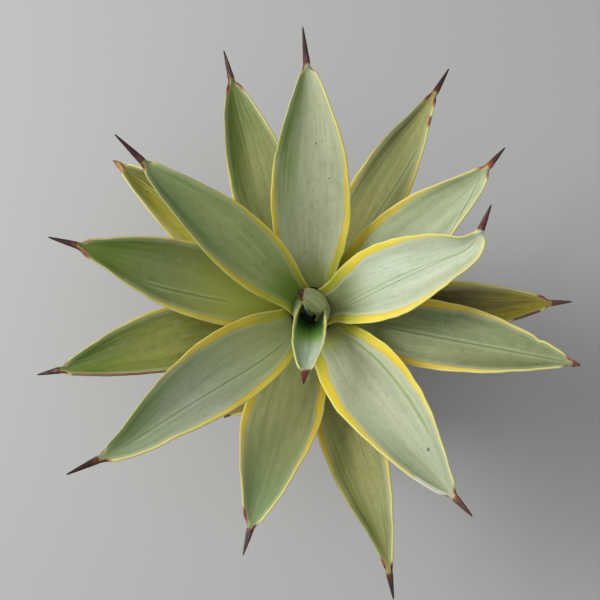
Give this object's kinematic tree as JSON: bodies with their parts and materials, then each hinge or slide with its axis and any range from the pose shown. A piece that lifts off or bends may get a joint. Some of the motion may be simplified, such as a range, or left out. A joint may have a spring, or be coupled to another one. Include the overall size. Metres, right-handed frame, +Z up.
{
  "type": "potted variegated agave",
  "caption": "Potted agave: a rosette of thick pointed leaves with grey-green faces, yellow margins and dark spines, on a short stem in the soil of a plain round clay pot.",
  "frame": {"origin": "the middle of the pot's flat underside, on the pot's axis", "axes": "+Z up along the pot's axis; +Y towards the leaf that points to the top of the picture, so that the picture looks steeply down from the -Y side"},
  "size_m": [0.2392, 0.2379, 0.196],
  "materials": {
    "clay": "matte",
    "soil": "matte",
    "stem": "matte",
    "leaf": "satin",
    "old_leaf": "satin"
  },
  "bodies": {
    "root": {"pot": "clay", "soil": "soil", "stem": "stem", "leaf_01": "leaf", "leaf_02": "leaf", "leaf_03": "leaf", "leaf_04": "leaf", "leaf_05": "leaf", "leaf_06": "leaf", "leaf_07": "leaf", "leaf_08": "leaf", "leaf_09": "leaf", "leaf_10": "leaf", "leaf_11": "leaf", "leaf_12": "leaf", "leaf_13": "leaf", "leaf_14": "leaf", "leaf_15": "leaf", "leaf_16": "leaf", "leaf_17": "old_leaf", "leaf_18": "old_leaf", "leaf_19": "old_leaf"}
  },
  "joints": []
}
